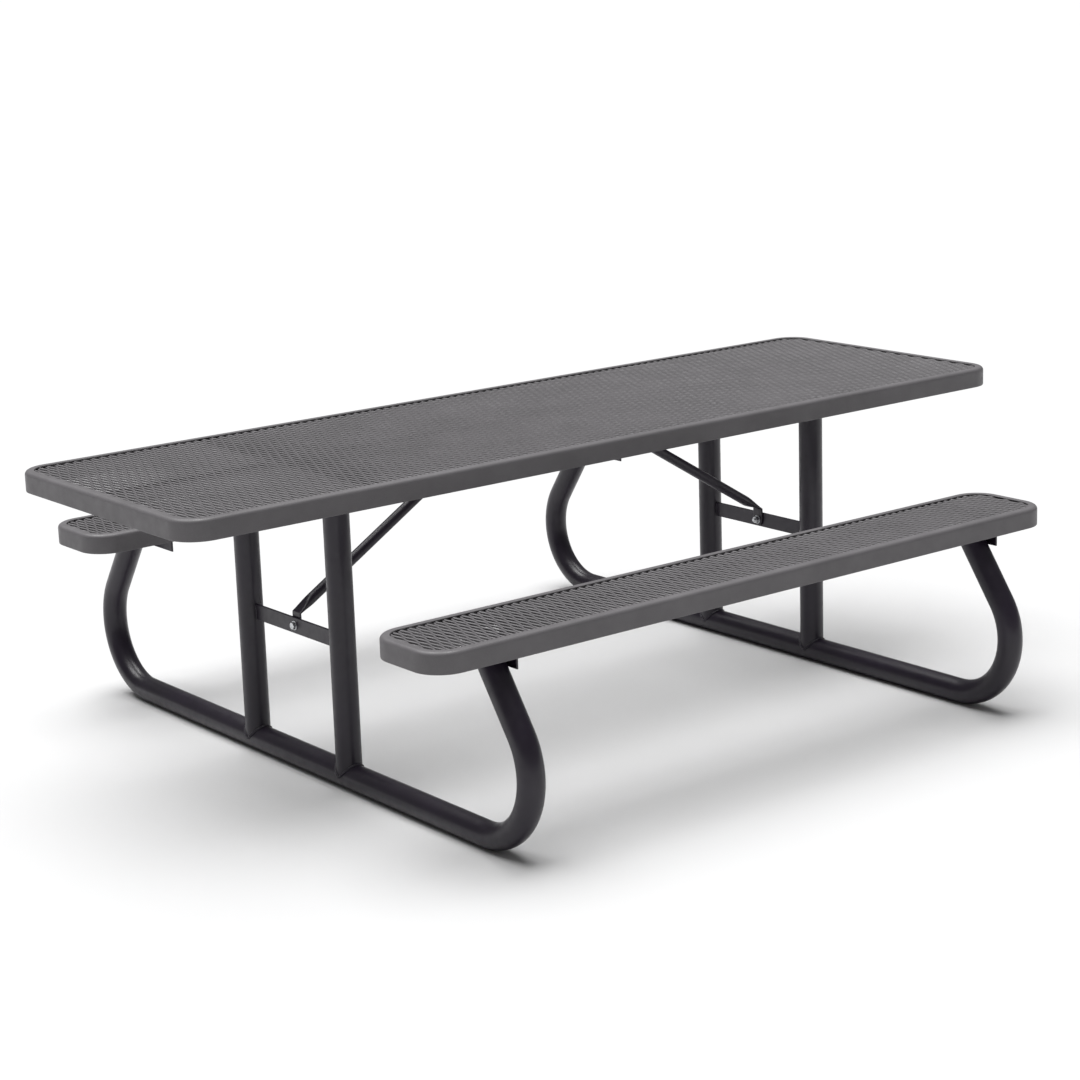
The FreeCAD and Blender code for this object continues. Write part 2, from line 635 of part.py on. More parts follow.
# ---------------------------------------------------------------- check and write
doc.recompute()
for thing in doc.Objects:
    if "Invalid" in thing.State or "Error" in thing.State:
        raise RuntimeError("%s did not compute: %s" % (thing.Name, thing.State))
for thing in parts:
    if thing.Shape.isNull() or not thing.Shape.isValid() or not thing.Shape.Solids:
        raise RuntimeError("%s has no valid solid" % thing.Label)

os.makedirs("parts", exist_ok=True)
for thing in parts:
    thing.Shape.exportStep("parts/%s.step" % thing.Label)
    print("%-24s solids %2d  volume %9.0f" % (thing.Label, len(thing.Shape.Solids),
                                              thing.Shape.Volume))
print("%d pieces" % len(parts))
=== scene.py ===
import bpy
import math
import numpy as np
from mathutils import Matrix, Vector


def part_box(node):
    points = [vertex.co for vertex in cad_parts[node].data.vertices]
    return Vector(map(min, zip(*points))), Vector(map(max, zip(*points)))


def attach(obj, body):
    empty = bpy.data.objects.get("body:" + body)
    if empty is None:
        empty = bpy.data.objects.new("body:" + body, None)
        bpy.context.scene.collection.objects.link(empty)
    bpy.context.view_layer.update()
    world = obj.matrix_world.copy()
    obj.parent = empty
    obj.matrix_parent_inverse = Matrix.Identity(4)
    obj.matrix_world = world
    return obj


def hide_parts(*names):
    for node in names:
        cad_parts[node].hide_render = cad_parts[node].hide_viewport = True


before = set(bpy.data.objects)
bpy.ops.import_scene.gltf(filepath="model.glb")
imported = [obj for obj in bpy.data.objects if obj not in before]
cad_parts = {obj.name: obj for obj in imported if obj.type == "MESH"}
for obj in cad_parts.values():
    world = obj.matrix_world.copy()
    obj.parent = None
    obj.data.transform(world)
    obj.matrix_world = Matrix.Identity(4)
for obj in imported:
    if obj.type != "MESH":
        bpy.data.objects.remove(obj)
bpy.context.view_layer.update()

mm = 0.001
panelNames = ("top", "front_bench", "back_bench")
sides = ("left", "right")


def ends(node):
    # lowest and highest corner of a CAD node as arrays
    low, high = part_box(node)
    return np.array(low), np.array(high)


# ---- camera: heading and dip in degrees, seen from the table's front left
camera = {"heading": 37.743, "dip": 13.871, "roll": 1.925,
          "place": (-3.7003, -4.7691, 1.9081), "lens": 83.792}


def addCamera(c):
    heading, dip, roll = (math.radians(c[k]) for k in ("heading", "dip", "roll"))
    ahead = Vector((math.sin(heading) * math.cos(dip), math.cos(heading) * math.cos(dip), -math.sin(dip)))
    right = Vector((math.cos(heading), -math.sin(heading), 0))
    down = ahead.cross(right)
    across = right * math.cos(roll) + down * math.sin(roll)
    below = down * math.cos(roll) - right * math.sin(roll)
    data = bpy.data.cameras.new("studioCamera")
    data.lens, data.sensor_width, data.clip_end = c["lens"], 36.0, 400.0
    obj = bpy.data.objects.new("studioCamera", data)
    turn = Matrix((across, -below, -ahead)).transposed().to_4x4()
    obj.matrix_world = Matrix.Translation(c["place"]) @ turn
    bpy.context.collection.objects.link(obj)
    bpy.context.scene.camera = obj


addCamera(camera)
print("camera ready")


# ---- mesh building: a shell is (points, [face arrays]), closed and facing outwards
def gridQuads(rows, columns, wrapRows=False, wrapColumns=True):
    # quads between neighbours of a rows x columns grid numbered row by row
    r = np.arange(rows if wrapRows else rows - 1)[:, None]
    c = np.arange(columns if wrapColumns else columns - 1)[None, :]
    nextR, nextC = (r + 1) % rows, (c + 1) % columns
    quads = np.stack([r * columns + c, r * columns + nextC, nextR * columns + nextC, nextR * columns + c], -1)
    return quads.reshape(-1, 4)


def faceOutward(points, groups):
    # the signed volume, sum of a . (b x c) / 6 over a fan of triangles, is positive when faces look out
    volume = 0.0
    for faces in groups:
        a = points[faces[:, 0]]
        for k in range(1, faces.shape[1] - 1):
            volume += np.einsum("ij,ij->", a, np.cross(points[faces[:, k]], points[faces[:, k + 1]]))
    return points, [f if volume > 0 else f[:, ::-1] for f in groups]


def tube(rings, closed=False):
    # rings x sides x 3 points joined into a skin, with a flat cap at each end unless the rings close up
    rows, columns = rings.shape[:2]
    groups = [gridQuads(rows, columns, closed)]
    if not closed:
        first = np.arange(columns)[None, ::-1]
        groups += [first, first[:, ::-1] + (rows - 1) * columns]
    return faceOutward(rings.reshape(-1, 3), groups)


def makePiece(name, shells, finish, nodes=(), sharp=None):
    points = np.concatenate([s[0] for s in shells])
    starts = np.cumsum([0] + [len(s[0]) for s in shells[:-1]])
    faces = [f + start for s, start in zip(shells, starts) for f in s[1]]
    loops = np.concatenate([f.ravel() for f in faces]).astype(np.int32)
    sizes = np.concatenate([np.full(len(f), f.shape[1]) for f in faces])
    mesh = bpy.data.meshes.new(name)
    mesh.vertices.add(len(points))
    mesh.vertices.foreach_set("co", points.astype(np.float32).ravel())
    mesh.loops.add(len(loops))
    mesh.loops.foreach_set("vertex_index", loops)
    mesh.polygons.add(len(sizes))
    mesh.polygons.foreach_set("loop_start", (np.cumsum(sizes) - sizes).astype(np.int32))
    mesh.update(calc_edges=True)
    mesh.validate()
    mesh.polygons.foreach_set("use_smooth", np.ones(len(mesh.polygons), bool))
    if sharp:
        mesh.set_sharp_from_angle(angle=math.radians(sharp))
    mesh.materials.append(finish)
    obj = bpy.data.objects.new(name, mesh)
    bpy.context.collection.objects.link(obj)
    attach(obj, "root")
    if nodes:
        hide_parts(*nodes)
    print("made", name, len(mesh.polygons), "faces")
    return obj


# ---- flat outlines and solids from them
def inset(corners, depth):
    # each corner moves in by depth along both neighbouring edges' inward normals
    corners = np.asarray(corners, float)
    edge = np.roll(corners, -1, 0) - corners
    edge /= np.linalg.norm(edge, axis=1, keepdims=True)
    normal = np.stack([-edge[:, 1], edge[:, 0]], -1)
    before = np.roll(normal, 1, 0)
    share = 1 + np.einsum("ij,ij->i", normal, before)
    return corners + depth * (normal + before) / share[:, None]


def roundOutline(corners, radii, steps=5, support=0.35):
    # each corner becomes an arc, with one more point on the straight beside each end to hold the shading;
    # an arc's point is centre + (sin((1-k)t) s + sin(kt) e) / sin t between its two end spokes s and e
    corners = np.asarray(corners, float)
    radii = np.broadcast_to(np.asarray(radii, float), (len(corners),))
    back = np.roll(corners, 1, 0) - corners
    ahead = np.roll(corners, -1, 0) - corners
    back /= np.linalg.norm(back, axis=1, keepdims=True)
    ahead /= np.linalg.norm(ahead, axis=1, keepdims=True)
    half = np.arccos(np.clip(np.einsum("ij,ij->i", back, ahead), -1, 1)) / 2
    tangent = (radii / np.tan(half))[:, None]
    middle = back + ahead
    middle /= np.linalg.norm(middle, axis=1, keepdims=True)
    centre = corners + middle * (radii / np.sin(half))[:, None]
    startSpoke, endSpoke = corners + back * tangent - centre, corners + ahead * tangent - centre
    angle = (math.pi - 2 * half)[:, None, None]
    k = np.linspace(0, 1, steps + 1)[None, :, None]
    arc = np.sin((1 - k) * angle) * startSpoke[:, None] + np.sin(k * angle) * endSpoke[:, None]
    arc = arc / np.sin(angle) + centre[:, None]
    extra = (radii * support)[:, None]
    first = corners + back * (tangent + extra)
    last = corners + ahead * (tangent + extra)
    return np.concatenate([first[:, None], arc, last[:, None]], 1).reshape(-1, 2)


def softPrism(corners, radii, start, end, u, v, along, origin, edge=0.8 * mm, steps=5):
    # a section with rounded corners carried from start to end along a direction; each end closes in along
    # a quarter circle of radius edge: inset = edge (1 - sin a), distance = edge (1 - cos a)
    turn = np.linspace(0, math.pi / 2, 4)
    into, inward = edge * (1 - np.cos(turn)), edge * (1 - np.sin(turn))
    stations = np.concatenate([start + into, [start + 2.5 * edge, end - 2.5 * edge], end - into[::-1]])
    insets = np.concatenate([inward, [0, 0], inward[::-1]])
    middle = np.asarray(corners, float)
    # which way each corner turns: the sign of ahead x behind, written out for two dimensions
    ahead, behind = np.roll(middle, -1, 0) - middle, middle - np.roll(middle, 1, 0)
    signed = np.sign(ahead[:, 0] * behind[:, 1] - ahead[:, 1] * behind[:, 0])
    rings = []
    for station, depth in zip(stations, insets):
        radius = np.maximum(np.asarray(radii, float) + signed * depth * 0.6, 0.25 * mm)
        flat = roundOutline(inset(middle, depth), radius, steps)
        rings.append(origin + flat[:, :1] * u + flat[:, 1:] * v + station * along)
    return tube(np.array(rings))


def acrossAxis(axis):
    # the axis as an array, and two directions square to it and to each other
    axis = np.asarray(axis, float)
    side = np.array([0, 0, 1.0]) if abs(axis[2]) < 0.5 else np.array([1.0, 0, 0])
    return axis, side, np.cross(axis, side)


def lathe(profile, centre, axis, turns=32, hexFlats=None):
    # radius and distance along the axis, carried round it; with hexFlats the radius is never more than
    # a hexagon's own, flats / 2 / cos(angle from the middle of the nearest flat)
    axis, side, other = acrossAxis(axis)
    phi = np.linspace(0, 2 * math.pi, turns, endpoint=False)
    radius = np.repeat(np.asarray([p[0] for p in profile])[:, None], turns, 1)
    if hexFlats:
        fold = (phi + math.pi / 6) % (math.pi / 3) - math.pi / 6
        radius = np.minimum(radius, (hexFlats / 2 / np.cos(fold))[None])
    level = np.asarray([p[1] for p in profile])[:, None, None]
    spoke = np.cos(phi)[:, None] * side + np.sin(phi)[:, None] * other
    return tube(np.asarray(centre) + radius[..., None] * spoke[None] + level * axis)


def threadRod(radius, pitch, depth, start, end, centre, axis, turns=20):
    # radius less depth times a triangle wave of (distance / pitch - angle / full turn), so it winds
    axis, side, other = acrossAxis(axis)
    phi = np.linspace(0, 2 * math.pi, turns, endpoint=False)
    level = np.arange(start, end, pitch / 6)
    wave = (level[:, None] / pitch - phi[None] / (2 * math.pi)) % 1.0
    fade = np.clip((end - level) / pitch, 0.35, 1)[:, None]
    r = (radius - depth * np.abs(2 * wave - 1)) * np.minimum(1, 0.8 + 0.2 * fade)
    spoke = np.cos(phi)[:, None] * side + np.sin(phi)[:, None] * other
    return tube(np.asarray(centre) + r[..., None] * spoke[None] + level[:, None, None] * axis)


def bead(path, radius, closed=True, pitch=2.6 * mm, roundness=8, seed=1):
    # a weld: a tube round the path whose radius rises and falls once per pitch, like overlapping drops
    path = np.asarray(path, float)
    ahead = np.roll(path, -1, 0) - np.roll(path, 1, 0) if closed else np.gradient(path, axis=0)
    ahead /= np.linalg.norm(ahead, axis=1, keepdims=True)
    step = np.linalg.norm(np.diff(path, axis=0), axis=1)
    run = np.concatenate([[0], np.cumsum(step)])
    total = run[-1] + (np.linalg.norm(path[0] - path[-1]) if closed else 0)
    pitch = total / max(1, round(total / pitch))
    rng = np.random.default_rng(seed)
    drops = rng.uniform(0.9, 1.08, int(round(total / pitch)) + 1)
    phase = run / pitch
    swell = 0.88 + 0.16 * np.abs(np.sin(math.pi * phase))
    r = radius * swell * drops[np.floor(phase).astype(int) % len(drops)]
    if not closed:
        r = r * np.sqrt(np.clip(np.minimum(run, run[-1] - run) / (2 * radius) + 0.05, 0.05, 1))
    helper = np.array([0.31, 0.17, 0.93])
    u = np.cross(ahead, helper)
    u /= np.linalg.norm(u, axis=1, keepdims=True)
    v = np.cross(ahead, u)
    phi = np.linspace(0, 2 * math.pi, roundness, endpoint=False)
    ring = np.cos(phi)[None, :, None] * u[:, None] + np.sin(phi)[None, :, None] * v[:, None]
    return tube(path[:, None] + r[:, None, None] * ring, closed)


# ---- finishes: noise on object coordinates, in metres
def newFinish(name):
    mat = bpy.data.materials.new(name)
    mat.use_nodes = True
    return mat, mat.node_tree, mat.node_tree.nodes["Principled BSDF"]


def noiseNode(tree, scale, detail=2.0, roughness=0.5):
    coords = tree.nodes.get("Texture Coordinate") or tree.nodes.new("ShaderNodeTexCoord")
    noise = tree.nodes.new("ShaderNodeTexNoise")
    noise.inputs["Scale"].default_value = scale
    noise.inputs["Detail"].default_value = detail
    noise.inputs["Roughness"].default_value = roughness
    tree.links.new(coords.outputs["Object"], noise.inputs["Vector"])
    return noise.outputs["Fac"]


def rampNode(tree, source, stops):
    ramp = tree.nodes.new("ShaderNodeValToRGB")
    ramp.color_ramp.elements[0].position, ramp.color_ramp.elements[1].position = stops[0][0], stops[-1][0]
    for stop in stops[1:-1]:
        ramp.color_ramp.elements.new(stop[0])
    for element, stop in zip(ramp.color_ramp.elements, stops):
        element.color = (*stop[1], 1)
    tree.links.new(source, ramp.inputs["Fac"])
    return ramp.outputs["Color"]


def rangeNode(tree, source, low, high, fromLow=0.3, fromHigh=0.7):
    node = tree.nodes.new("ShaderNodeMapRange")
    for key, value in (("From Min", fromLow), ("From Max", fromHigh), ("To Min", low), ("To Max", high)):
        node.inputs[key].default_value = value
    tree.links.new(source, node.inputs["Value"])
    return node.outputs["Result"]


def mixNode(tree, a, b, share, mode="MIX"):
    node = tree.nodes.new("ShaderNodeMix")
    node.data_type, node.blend_type = "RGBA", mode
    for socket, value in ((node.inputs[6], a), (node.inputs[7], b), (node.inputs[0], share)):
        if hasattr(value, "is_output"):
            tree.links.new(value, socket)
        else:
            socket.default_value = value
    return node.outputs[2]


def bumpNode(tree, height, distance, strength, under=None):
    node = tree.nodes.new("ShaderNodeBump")
    node.inputs["Distance"].default_value = distance
    node.inputs["Strength"].default_value = strength
    tree.links.new(height, node.inputs["Height"])
    if under:
        tree.links.new(under, node.inputs["Normal"])
    return node.outputs["Normal"]


def coatedFinish(name, look):
    # a dipped or sprayed coat: slow colour drift, fine speckle, soft waves and orange peel
    mat, tree, shader = newFinish(name)
    drift = noiseNode(tree, look["driftScale"], 3)
    colour = rampNode(tree, drift, [(0.3, look["dark"]), (0.55, look["middle"]), (0.75, look["light"])])
    speckle = rampNode(tree, noiseNode(tree, look["speckleScale"], 2),
                       [(0.35, (look["speckleDark"],) * 3), (0.65, (look["speckleLight"],) * 3)])
    tree.links.new(mixNode(tree, colour, speckle, 1.0, "MULTIPLY"), shader.inputs["Base Color"])
    shine = rangeNode(tree, noiseNode(tree, look["shineScale"], 4), look["gloss"], look["matte"])
    tree.links.new(shine, shader.inputs["Roughness"])
    waves = bumpNode(tree, noiseNode(tree, look["waveScale"], 1), look["waveHeight"], look["waveStrength"])
    peel = bumpNode(tree, noiseNode(tree, look["peelScale"], 2, 0.6),
                    look["peelHeight"], look["peelStrength"], waves)
    tree.links.new(peel, shader.inputs["Normal"])
    shader.inputs["Specular IOR Level"].default_value = look["specular"]
    shader.inputs["Coat Weight"].default_value = look["coat"]
    shader.inputs["Coat Roughness"].default_value = look["coatRoughness"]
    return mat


greyCoating = coatedFinish("greyCoating", {
    "dark": (0.107, 0.102, 0.107), "middle": (0.119, 0.113, 0.119), "light": (0.130, 0.124, 0.130),
    "driftScale": 7, "speckleScale": 620, "speckleDark": 0.93, "speckleLight": 1.06,
    "shineScale": 40, "gloss": 0.40, "matte": 0.58,
    "waveScale": 46, "waveHeight": 0.5 * mm, "waveStrength": 0.35,
    "peelScale": 780, "peelHeight": 0.16 * mm, "peelStrength": 0.45,
    "specular": 0.42, "coat": 0.0, "coatRoughness": 0.3})

charcoalCoat = coatedFinish("charcoalPowderCoat", {
    "dark": (0.0095, 0.0062, 0.0128), "middle": (0.0120, 0.0077, 0.0164), "light": (0.0155, 0.0104, 0.0208),
    "driftScale": 9, "speckleScale": 900, "speckleDark": 0.93, "speckleLight": 1.06,
    "shineScale": 60, "gloss": 0.30, "matte": 0.44,
    "waveScale": 70, "waveHeight": 0.25 * mm, "waveStrength": 0.3,
    "peelScale": 950, "peelHeight": 0.09 * mm, "peelStrength": 0.4,
    "specular": 0.4, "coat": 0.15, "coatRoughness": 0.2})


def zincFinish(look):
    # bright plating: blue-white metal with faint dull patches and fine turning marks
    mat, tree, shader = newFinish("zincPlate")
    colour = rampNode(tree, noiseNode(tree, look["patchScale"], 3), [(0.3, look["dull"]), (0.7, look["bright"])])
    tree.links.new(colour, shader.inputs["Base Color"])
    shine = rangeNode(tree, noiseNode(tree, look["shineScale"], 3), look["gloss"], look["matte"])
    tree.links.new(shine, shader.inputs["Roughness"])
    grain = bumpNode(tree, noiseNode(tree, look["grainScale"], 2), look["grainHeight"], look["grainStrength"])
    tree.links.new(grain, shader.inputs["Normal"])
    shader.inputs["Metallic"].default_value = 1.0
    return mat


zincPlate = zincFinish({"dull": (0.42, 0.43, 0.44), "bright": (0.62, 0.63, 0.65),
                        "patchScale": 180, "shineScale": 300, "gloss": 0.22, "matte": 0.42,
                        "grainScale": 1500, "grainHeight": 0.05 * mm, "grainStrength": 0.35})
print("finishes ready")


# ---- rims: the formed sheet edge, dipped, so every edge is soft
rim = {"corner": 72 * mm, "edge": 10 * mm, "wall": 3.2 * mm, "lip": 22 * mm, "lipRound": 1.6 * mm,
       "hemSwell": 0.5 * mm, "hemStart": 9 * mm, "hemFull": 5 * mm, "hemOuter": 3 * mm,
       "beside": 1.5 * mm, "besideLip": 1.0 * mm, "cornerSteps": 22, "sideStep": 90 * mm}


def roundedPath(low, high, radius, steps, sideStep):
    # a rectangle with quarter-round corners: points and their inward directions, evenly spaced on each side
    centreX, centreY = (low[0] + high[0]) / 2, (low[1] + high[1]) / 2
    a, b = (high[0] - low[0]) / 2 - radius, (high[1] - low[1]) / 2 - radius
    points, inward = [], []
    quarters = ((1, 1, 2 * a), (-1, 1, 2 * b), (-1, -1, 2 * a), (1, -1, 2 * b))
    for quarter, (sx, sy, length) in enumerate(quarters):
        phi = quarter * math.pi / 2 + np.linspace(0, math.pi / 2, steps + 1)
        spoke = np.stack([np.cos(phi), np.sin(phi)], -1)
        middle = np.array([centreX + sx * a, centreY + sy * b])
        points.append(middle + radius * spoke)
        inward.append(-spoke)
        count = max(2, int(length / sideStep))
        k = (np.arange(1, count) / count)[:, None]
        way = np.array([-spoke[-1][1], spoke[-1][0]])
        points.append(points[-1][-1] + k * length * way)
        inward.append(np.repeat(-spoke[-1:], count - 1, 0))
    return np.concatenate(points), np.concatenate(inward)


def makeRim(panel, name):
    # profile (depth in from the outer face, level down from the top) carried round the outline
    low, high = ends(panel + "_rim")
    d, w, e, r = high[2] - low[2], rim["wall"], rim["edge"], rim["lipRound"]
    lip, swell, near = rim["lip"], rim["hemSwell"], e + rim["beside"]
    beforeLip = lip - r - rim["besideLip"]
    outer = np.linspace(0, math.pi / 2, 9)
    tip = np.linspace(0, math.pi, 7)
    profile = np.concatenate([
        np.stack([e - e * np.cos(outer), -e + e * np.sin(outer)], -1),
        [[near, 0], [beforeLip, 0]],
        np.stack([lip - r + r * np.sin(tip), -r + r * np.cos(tip)], -1),
        [[beforeLip, -w], [near, -w]],
        np.stack([e - (e - w) * np.sin(outer), -e + (e - w) * np.cos(outer)], -1),
        [[w, -near], [w, -d + rim["hemStart"]], [w + swell, -d + rim["hemFull"]]],
        np.stack([(w + swell) / 2 * (1 + np.cos(tip)), -d + r - r * np.sin(tip)], -1),
        [[0, -d + rim["hemOuter"]], [0, -near]],
    ])
    path, inward = roundedPath(low, high, rim["corner"], rim["cornerSteps"], rim["sideStep"])
    flat = path[:, None] + profile[None, :, :1] * inward[:, None]
    level = np.broadcast_to(high[2] + profile[None, :, 1], flat.shape[:2])
    rings = np.concatenate([flat, level[..., None]], -1)
    makePiece(name, [tube(rings, closed=True)], greyCoating, [panel + "_rim"])


for panel, name in zip(panelNames, ("topRim", "frontBenchRim", "backBenchRim")):
    makeRim(panel, name)

# ---- expanded metal: strands that swing from side to side and join at the bonds
strand = {"pitch": 11.4 * mm, "half": 25.4 * mm, "swing": 3.9 * mm, "squareness": 0.7, "lift": 0.9 * mm,
          "width": 5.2 * mm, "thick": 4.6 * mm, "tilt": 20.0, "steps": 5, "roundness": 6,
          "corner": 61.4 * mm}


def makeMesh(panel, names):
    # one strand per pitch: sideways = swing tanh(k cos(pi y / half)) / tanh(k), and its level goes the other
    # way; neighbours swing against each other, so every second gap is joined at each multiple of half
    low, high = ends(panel + "_mesh")
    centre, length, width = (low + high) / 2, high[1] - low[1], high[0] - low[0]
    s = strand
    reach = s["swing"] + s["width"] / 2
    count = int((width - 2 * reach) / s["pitch"]) + 1
    offset = (np.arange(count) - (count - 1) / 2) * s["pitch"]
    step = s["half"] / s["steps"]
    most = int(math.ceil(length / 2 / step)) + 1
    station = np.arange(-most, most + 1) * step
    # the strands' ends follow the panel's round corners
    over = np.maximum(0, np.abs(offset) + reach - (width / 2 - s["corner"]))
    end = length / 2 - (s["corner"] - np.sqrt(np.maximum(s["corner"] ** 2 - over ** 2, 0)))
    y = np.clip(station[None], -end[:, None], end[:, None])
    sign = np.where(np.arange(count) % 2, -1.0, 1.0)[:, None]
    k, turn = s["squareness"], math.pi / s["half"]
    bend = np.tanh(k * np.cos(turn * y)) / math.tanh(k)
    slope = s["swing"] * k * turn * np.sin(turn * y) * (1 - (bend * math.tanh(k)) ** 2) / math.tanh(k)
    phi = (np.arange(s["roundness"]) + 0.5) * 2 * math.pi / s["roundness"]
    lean = math.radians(s["tilt"])
    a = s["width"] / 2 * np.sqrt(1 + slope ** 2)[..., None] * np.cos(phi)
    b = s["thick"] / 2 * np.sin(phi)
    across = (offset[:, None] + sign * s["swing"] * bend)[..., None] + a * math.cos(lean) - b * math.sin(lean)
    level = (-sign * s["lift"] * bend)[..., None] + a * math.sin(lean) + b * math.cos(lean)
    points = np.empty(across.shape + (3,))
    points[..., 0] = centre[0] + across
    points[..., 1] = centre[1] + y[..., None]
    points[..., 2] = centre[2] + level
    # only the stretch between a strand's own two ends is skinned and capped
    strands, stations, sidesCount = across.shape
    base = (np.arange(strands)[:, None] * stations + np.arange(stations - 1)[None]) * sidesCount
    real = np.diff(y, axis=1) > 1e-6
    ring = np.arange(sidesCount)
    quad = np.stack([ring, (ring + 1) % sidesCount, (ring + 1) % sidesCount + sidesCount, ring + sidesCount], -1)
    first, last = real.argmax(1), stations - 1 - real[:, ::-1].argmax(1)
    own = np.arange(strands) * stations
    for part, name in enumerate(names):
        chosen = np.arange(strands) * len(names) // strands == part
        faces = (base[real & chosen[:, None]][:, None, None] + quad[None]).reshape(-1, 4)
        caps = np.concatenate([((own + first)[chosen, None] * sidesCount + ring[::-1]),
                               ((own + last)[chosen, None] * sidesCount + ring)])
        used, fresh = np.unique(np.concatenate([faces.ravel(), caps.ravel()]), return_inverse=True)
        faces, caps = fresh[:faces.size].reshape(-1, 4), fresh[faces.size:].reshape(-1, sidesCount)
        shell = faceOutward(points.reshape(-1, 3)[used], [faces, caps])
        makePiece(name, [shell], greyCoating, [panel + "_mesh"])


makeMesh("top", ("topMeshLeft", "topMeshRight"))
makeMesh("front_bench", ("frontBenchMesh",))
makeMesh("back_bench", ("backBenchMesh",))

# ---- straps, ribs and angles: rolled and folded sections with soft edges
sectionLook = {"strapWall": 3 * mm, "angleWall": 5 * mm, "ribWall": 4 * mm, "heel": 1.8 * mm,
               "toe": 2.2 * mm, "root": 5 * mm, "cornerToe": 0.6 * mm,
               "fold": 2.6 * mm, "foldInside": 1.0 * mm, "foldTip": 1.2 * mm}
axisX, axisY, axisZ = np.eye(3)


def angleSection(width, height, wall, hangHigh):
    # corners of an L with its flat leg on top, anticlockwise, and each corner's radius
    heel, toe, root = sectionLook["heel"], min(sectionLook["toe"], wall * 0.42), sectionLook["root"]
    cornerToe = sectionLook["cornerToe"]
    corners = np.array([[0, 0], [width, 0], [width, -wall], [wall, -wall], [wall, -height], [0, -height]])
    radii = np.array([heel, cornerToe, toe, root, toe, cornerToe])
    if hangHigh:
        corners = corners * [-1, 1] + [width, 0]
        return corners, radii
    return corners[::-1], radii[::-1]


def makeAngle(panel, side, name):
    node = "%s_angle_%s" % (panel, side)
    low, high = ends(node)
    corners, radii = angleSection(high[0] - low[0], high[2] - low[2], sectionLook["angleWall"], True)
    origin = np.array([low[0], 0, high[2]])
    shell = softPrism(corners, radii, low[1], high[1], axisX, axisZ, axisY, origin, 1.0 * mm)
    makePiece(name, [shell], charcoalCoat, [node], 40)


def makeRib(panel, place, name):
    node = "%s_rib_%s" % (panel, place)
    low, high = ends(node)
    corners, radii = angleSection(high[1] - low[1], high[2] - low[2], sectionLook["ribWall"], False)
    origin = np.array([0, low[1], high[2]])
    shell = softPrism(corners, radii, low[0], high[0], axisY, axisZ, axisX, origin, 1.0 * mm)
    makePiece(name, [shell], greyCoating, [node], 40)


def makeStrap(panel, side, name):
    node = "%s_strap_%s" % (panel, side)
    low, high = ends(node)
    w, d, t = high[0] - low[0], high[2] - low[2], sectionLook["strapWall"]
    corners = [[0, 0], [w, 0], [w, d], [w - t, d], [w - t, t], [t, t], [t, d], [0, d]]
    f, g, tip = sectionLook["fold"], sectionLook["foldInside"], sectionLook["foldTip"]
    radii = [f, f, tip, tip, g, g, tip, tip]
    origin = np.array([low[0], 0, low[2]])
    shell = softPrism(corners, radii, low[1], high[1], axisX, axisZ, axisY, origin, 0.8 * mm, 4)
    makePiece(name, [shell], greyCoating, [node], 40)


pieceNames = {"top": "top", "front_bench": "frontBench", "back_bench": "backBench"}
for panel in panelNames:
    for side in sides:
        makeAngle(panel, side, pieceNames[panel] + "Angle" + side.title())
        makeStrap(panel, side, pieceNames[panel] + "Strap" + side.title())
    for place in ("middle", "left", "right"):
        makeRib(panel, place, pieceNames[panel] + "Rib" + place.title())

# ---- end frames: the bent runner with its two arms, and the posts
frameLook = {"tube": 60.3 * mm, "bend": 160 * mm, "angle": 125.0, "bendSteps": 40,
             "around": 48, "postAround": 64, "flattening": 0.012, "weld": 3.2 * mm,
             "armWeldSteps": 150, "postWeldSteps": 260, "weldStop": 0.86}


def tubeRing(count):
    phi = np.linspace(0, 2 * math.pi, count, endpoint=False)
    return np.cos(phi), np.sin(phi)


def openLoop(loop, theta):
    # leaves out the side nearest +X, where the angle's leg hangs, and starts the loop after the gap
    loop = loop[np.cos(theta) < frameLook["weldStop"]]
    return np.roll(loop, -np.argmax(np.linalg.norm(np.diff(loop, axis=0), axis=1)) - 1, 0)


